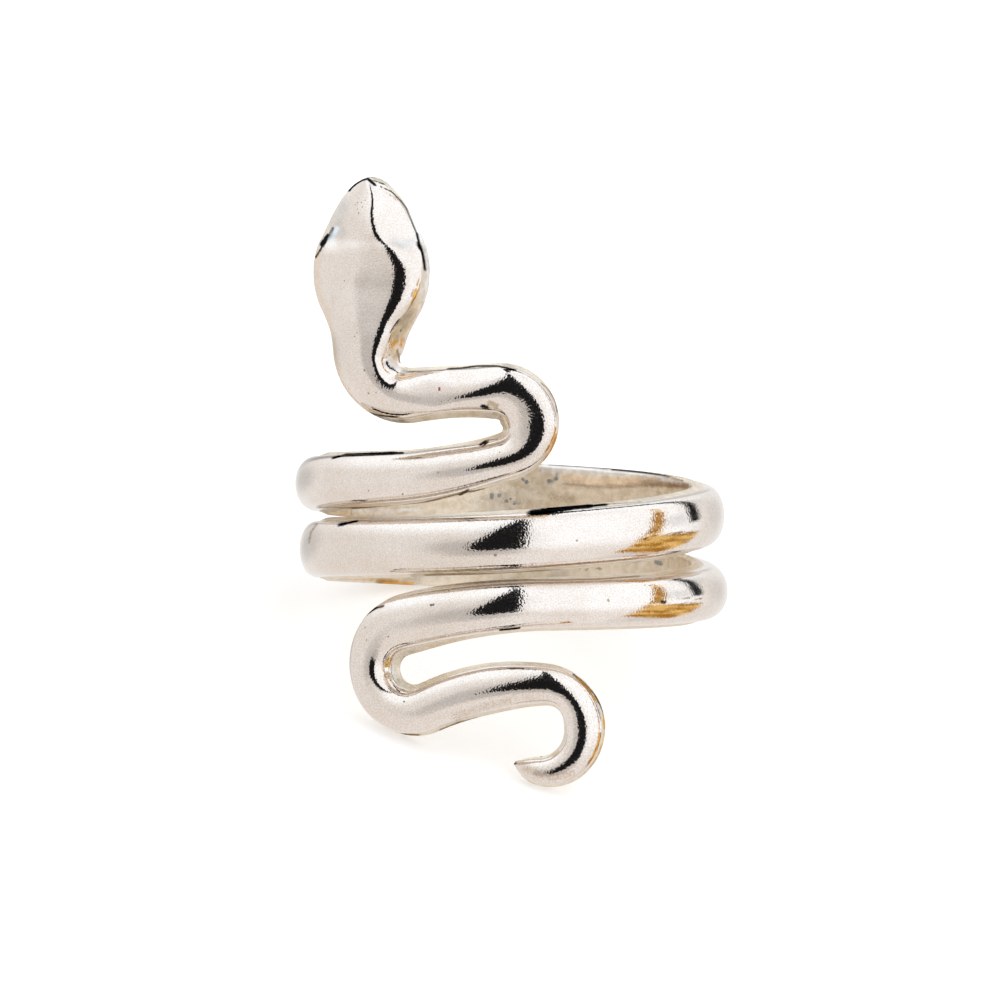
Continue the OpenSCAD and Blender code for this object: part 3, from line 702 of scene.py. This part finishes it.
def shown(seen, pixels):
    """The body's point that each px of the photograph shows, or -1."""
    x, y, deep, facing = seen
    front = np.flatnonzero(facing > 0)
    found = []
    for px, py in pixels:
        off = np.hypot(x[front] - px, y[front] - py)
        near = np.flatnonzero(off < SEARCH)
        if len(near) == 0:
            near = np.array([off.argmin()])
        near = near[deep[front[near]] < deep[front[near]].min() + LAYER]
        best = near[off[near].argmin()]
        found.append(front[best] if off[best] < FAR_SEARCH else -1)
    return np.array(found)


def paint_body(seen):
    """The photograph's marks, painted reflections, highlights and shade among them, as a colour and its strength
    at each point of the body.
    """
    x, y, deep, facing = seen
    paint = np.zeros((len(x), 4))
    for tone, half, strength, way in STROKES:
        pixels = []
        for (x0, y0), (x1, y1) in zip(way[:-1], way[1:]):
            n = max(int(math.hypot(x1 - x0, y1 - y0)), 1)
            pixels += [(x0 + (x1 - x0) * i / n, y0 + (y1 - y0) * i / n) for i in range(n)]
        pixels.append(way[-1])
        spots = shown(seen, pixels)
        line = np.array(pixels)[spots >= 0]
        if len(line) == 0:
            continue
        level = deep[spots[spots >= 0]]
        reach = FADE * half
        inside = (x > line[:, 0].min() - reach) & (x < line[:, 0].max() + reach)
        inside &= (y > line[:, 1].min() - reach) & (y < line[:, 1].max() + reach)
        close = np.flatnonzero(inside & (facing > TURNED_AWAY))
        off = np.hypot(x[close, None] - line[:, 0], y[close, None] - line[:, 1])
        nearest = off.argmin(1)
        off = np.where(abs(deep[close] - level[nearest]) < STROKE_DEEP, off.min(1), np.inf)
        share = strength * np.clip(FADE - off / half, 0, 1)[:, None]
        old = paint[close]
        alpha = share + old[:, 3:] * (1 - share)
        mixed = (share * np.array(tone) + (1 - share) * old[:, 3:] * old[:, :3]) / np.maximum(alpha, 1e-6)
        paint[close] = np.concatenate([mixed, alpha], 1)
    return paint


def build_body():
    """The snake as one finely meshed piece on its CAD node's box. Gives the move from the ring's own frame."""
    points, crown = body_points()
    rings = points @ TURN.T
    low, high = rings.reshape(-1, 3).min(0), rings.reshape(-1, 3).max(0)
    box = [np.array(v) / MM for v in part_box("snake_band")]
    shift = np.array([*((box[0] + box[1] - low - high) / 2)[:2], box[0][2] - low[2]])
    mesh = tube("snake_body", (rings + shift) * MM)
    # the two points that close the ends come last
    polish = np.append(np.tile(crown, len(points)), [True, True]).astype(np.float32)
    mesh.attributes.new("polish", "FLOAT", "POINT").data.foreach_set("value", polish)
    seen = picture(points)
    paint = np.concatenate([paint_body(seen), np.zeros((2, 4))]).astype(np.float32)
    mesh.color_attributes.new("paint", "FLOAT_COLOR", "POINT").data.foreach_set("color", paint.ravel())
    piece = bpy.data.objects.new("snake_body", mesh)
    bpy.context.scene.collection.objects.link(piece)
    spots = shown(seen, [(x, y) for x, y, _, _ in PITS])
    flat = (rings + shift).reshape(-1, 3) * MM
    pits = [(flat[spot], r / PX_MM * MM, tone) for spot, (_, _, r, tone) in zip(spots, PITS) if spot >= 0]
    mesh.materials.append(silver(pits))
    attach(piece, "root")
    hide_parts("snake_band")
    return shift


SHIFT = build_body()


def place(point):
    """A point of the ring's own frame, in mm, as a place in the row's frame."""
    return Vector((TURN @ np.array(point, float) + SHIFT) * MM)


def build_camera():
    """The photograph's camera, which looks at the front from a little above."""
    right, up, back, eye = view_axes()
    data = bpy.data.cameras.new("camera")
    data.sensor_width = SENSOR
    data.lens = SENSOR / PICTURE_W * DISTANCE
    camera = bpy.data.objects.new("camera", data)
    turn = np.stack([TURN @ v for v in (right, up, back)], 1)
    camera.matrix_world = Matrix.Translation(place(eye)) @ Matrix(turn.tolist()).to_4x4()
    bpy.context.scene.collection.objects.link(camera)
    bpy.context.scene.camera = camera


# a pale matt sheet, lit from below as on a light table: half its width in metres, its colour, its glow, and how
# rough and how shiny it is
FLOOR_HALF = 3.0
FLOOR_COLOR, FLOOR_GLOW, FLOOR_LIT = (0.72, 0.70, 0.68, 1), (1.0, 0.99, 0.97, 1), 0.47
FLOOR_ROUGH, FLOOR_SHINE = 0.9, 0.1


def build_floor():
    """The sheet that the ring lies on."""
    half = FLOOR_HALF
    mesh = bpy.data.meshes.new("floor")
    mesh.from_pydata([(-half, -half, 0), (half, -half, 0), (half, half, 0), (-half, half, 0)], [], [(0, 1, 2, 3)])
    material = bpy.data.materials.new("floor")
    material.use_nodes = True
    bsdf = material.node_tree.nodes["Principled BSDF"]
    bsdf.inputs["Base Color"].default_value = FLOOR_COLOR
    bsdf.inputs["Emission Color"].default_value = FLOOR_GLOW
    bsdf.inputs["Emission Strength"].default_value = FLOOR_LIT
    bsdf.inputs["Roughness"].default_value = FLOOR_ROUGH
    bsdf.inputs["Specular IOR Level"].default_value = FLOOR_SHINE
    mesh.materials.append(material)
    floor = bpy.data.objects.new("floor", mesh)
    # what the metal mirrors below it is the tent's own foot
    floor.visible_glossy = False
    bpy.context.scene.collection.objects.link(floor)


# the tent in the ring's frame: azimuth round from the front to the right, and height, in degrees
# a dark slit at the camera: height and azimuth along its left edge, azimuth of its right edge, where it fades in
SLIT_LEFT = [(-21, -12), (-17, -20), (-13, -24), (0, -22), (15, -16), (35, -11), (60, -5), (90, -5)]
SLIT_RIGHT, SLIT_SOFT, SLIT_FOOT = 7.6, 0.6, (-21.0, -17.0)
# a dark cord that runs on from the slit over the top and down on the right: height, azimuth, half width
CORD = [(-5, 117), (15, 119), (20, 121), (30, 129), (38, 140), (43, 152), (48, 165), (60, 174), (90, 178)]
CORD_HALF = [(-5, 4), (20, 5.5), (30, 6), (38, 6), (43, 9), (48, 12), (60, 12), (75, 16), (84, 60)]
CORD_SOFT, CORD_FOOT = 1.0, (1.0, 5.0)
# a dim stretch behind: azimuths from and to, lowest and highest, how soft its edges are and how much it dims
BEHIND, BEHIND_SOFT, BEHIND_DIM = (172.0, -164.0, 12.0, 34.0), 2.0, 0.3
# gold strip on the right, its middle height at each end and how soft the ends are, and the gold cloth below it:
# azimuths from and to, lowest and highest, and how soft its sides, foot and top are
STRIP = [(-6, 83), (10, 86), (20, 88), (30, 94), (40, 101), (48, 108)]
STRIP_HALF = [(-6, 6), (0, 4), (20, 4.5), (40, 3.5), (48, 0.5)]
STRIP_SOFT, STRIP_FOOT, STRIP_TOP = 1.0, (-7.0, 1.0), (48.0, 2.0)
CLOTH, CLOTH_SOFT = (75.0, 124.0, -44.0, -9.0), (3.0, 4.0, 2.0)
# the cloth's folds: how fast they change with azimuth and height, their noise, and where dark turns to light
FOLDS_WAY, FOLDS, FOLDS_EDGE = (0.03, 0.12), (1.0, 3.0, 0.6), (0.42, 0.62)
# the tent's colours on the left and right, at the top, and below
WHITE_LEFT, WHITE_RIGHT = (0.93, 0.92, 0.91, 1), (1.24, 1.30, 1.37, 1)
WHITE_TOP, TOP_RIGHT = (1.24, 1.31, 1.38, 1), (1.10, 1.13, 1.16, 1)
BELOW_LEFT, BELOW_RIGHT = (0.93, 0.895, 0.87, 1), (1.0, 0.98, 0.97, 1)
BLACK, CLOTH_DEEP, CLOTH_LIGHT = (0.012, 0.012, 0.013, 1), (0.44, 0.21, 0.03, 1), (1.0, 0.66, 0.24, 1)
# heights over which the left, the right and the part below turn from one colour to the next, and azimuths over
# which the right begins and ends
TOP_FROM, TOP_RIGHT_FROM, BELOW_FROM = (14.0, 50.0), (48.0, 75.0), (-6.0, -34.0)
RIGHT_FROM, RIGHT_TO = (-10.0, 30.0), (100.0, 135.0)
# soft grey shades: azimuth, height, their reach each way, how much they dim, and the share of it that is full
SHADES = [
    (-26, -8, 34, 26, 0.32), (-10, -26, 34, 12, 0.30), (-172, 14, 16, 16, 0.40), (-148, 2, 26, 18, 0.27),
    (140, 30, 16, 14, 0.15), (145, 4, 20, 20, 0.14), (102, 11, 14, 16, 0.24), (105, -50, 34, 20, 0.18),
    (-12, 25, 16, 50, 0.14),
]
SHADE_FULL = 0.2


def build_light():
    """A light tent round the ring: white, a little dimmer on the left, with a dark slit at the camera that runs on
    over the top, and a gold cloth on the right."""
    world = bpy.data.worlds.new("tent")
    bpy.context.scene.world = world
    world.use_nodes = True
    t = Tree(world.node_tree)
    way = t.add("ShaderNodeTexCoord", out=0)

    def along(v):
        """How far the way looked runs along one of the ring's own axes."""
        return t.add("ShaderNodeVectorMath", way, tuple(TURN @ np.array(v, float)), operation="DOT_PRODUCT", out=1)

    def times(first, *others):
        """The product of two or more values."""
        for other in others:
            first = t.math("MULTIPLY", first, other)
        return first

    def path(rows):
        """Azimuth at each height along a line of the tent."""
        node = t.tree.nodes.new("ShaderNodeValToRGB")
        node.color_ramp.interpolation = "LINEAR"
        stops = node.color_ramp.elements
        while len(stops) < len(rows):
            stops.new(0.5)
        for stop, (h, a) in zip(stops, rows):
            stop.position = (h + 90) / 180
            stop.color = ((a + 180) / 360,) * 3 + (1,)
        t.link(t.math("MULTIPLY_ADD", height, 1 / 180, 0.5), node.inputs[0])
        return t.math("MULTIPLY_ADD", node.outputs[0], 360.0, -180.0)

    def near(line, half, soft):
        """1 within half a width of a line of the tent, with a soft edge."""
        off = t.math("ABSOLUTE", t.math("SUBTRACT", azimuth, path(line)))
        half = path(half)
        return t.ramp(off, half, t.math("ADD", half, soft), 1.0, 0.0)

    right, front, up = along((1, 0, 0)), along((0, -1, 0)), along((0, 0, 1))
    azimuth = t.math("MULTIPLY", t.math("ARCTAN2", right, front), 1 / DEG)
    height = t.math("MULTIPLY", t.math("ARCSINE", up), 1 / DEG)
    # white all round: dimmer low on the left, brightest high up and on the right
    color = t.mix(t.ramp(height, *TOP_FROM), WHITE_LEFT, WHITE_TOP)
    facing = times(t.ramp(azimuth, *RIGHT_FROM), t.ramp(azimuth, *RIGHT_TO, 1.0, 0.0))
    color = t.mix(facing, color, t.mix(t.ramp(height, *TOP_RIGHT_FROM), WHITE_RIGHT, TOP_RIGHT))
    color = t.mix(t.ramp(height, *BELOW_FROM), color, t.mix(facing, BELOW_LEFT, BELOW_RIGHT))
    for a, h, wide, tall, dim in SHADES:
        off = t.add("ShaderNodeCombineXYZ", t.math("MULTIPLY_ADD", azimuth, 1 / wide, -a / wide),
                    t.math("MULTIPLY_ADD", height, 1 / tall, -h / tall), 0.0)
        reach = t.add("ShaderNodeVectorMath", off, operation="LENGTH", out=1)
        color = t.mix(t.ramp(reach, SHADE_FULL, 1.0, dim, 0.0), color, BLACK)
    # gold on the right: the strip and the folded cloth
    strip = times(near(STRIP, STRIP_HALF, STRIP_SOFT), t.past(height, *STRIP_FOOT), t.short_of(height, *STRIP_TOP))
    (a, b, low, high), (side, foot, top) = CLOTH, CLOTH_SOFT
    cloth = times(t.past(azimuth, a, side), t.short_of(azimuth, b, side),
                  t.past(height, low, foot), t.short_of(height, high, top))
    folds = t.add("ShaderNodeCombineXYZ", times(azimuth, FOLDS_WAY[0]), times(height, FOLDS_WAY[1]), 0.0)
    gold = t.mix(t.ramp(t.noise(folds, *FOLDS), *FOLDS_EDGE), CLOTH_DEEP, CLOTH_LIGHT)
    color = t.mix(t.math("MAXIMUM", strip, cloth), color, gold)
    # the dim stretch behind, which the azimuth's seam runs through
    a, b, low, high = BEHIND
    behind = times(t.math("MAXIMUM", t.past(azimuth, a, BEHIND_SOFT), t.short_of(azimuth, b, BEHIND_SOFT)),
                   t.past(height, low, BEHIND_SOFT), t.short_of(height, high, BEHIND_SOFT))
    color = t.mix(times(behind, BEHIND_DIM), color, BLACK)
    # the slit: its right edge is upright, its left edge leans in as it rises, and it ends below the horizon
    slit = times(t.past(t.math("SUBTRACT", azimuth, path(SLIT_LEFT)), 0.0, SLIT_SOFT),
                 t.short_of(azimuth, SLIT_RIGHT, SLIT_SOFT), t.ramp(height, *SLIT_FOOT))
    cord = times(near(CORD, CORD_HALF, CORD_SOFT), t.ramp(height, *CORD_FOOT))
    color = t.mix(t.math("MAXIMUM", slit, cord), color, BLACK)
    background = t.add("ShaderNodeBackground", color, 1.0)
    t.add("ShaderNodeOutputWorld", background)


build_camera()
build_floor()
build_light()
bpy.context.scene.view_settings.view_transform = "Standard"
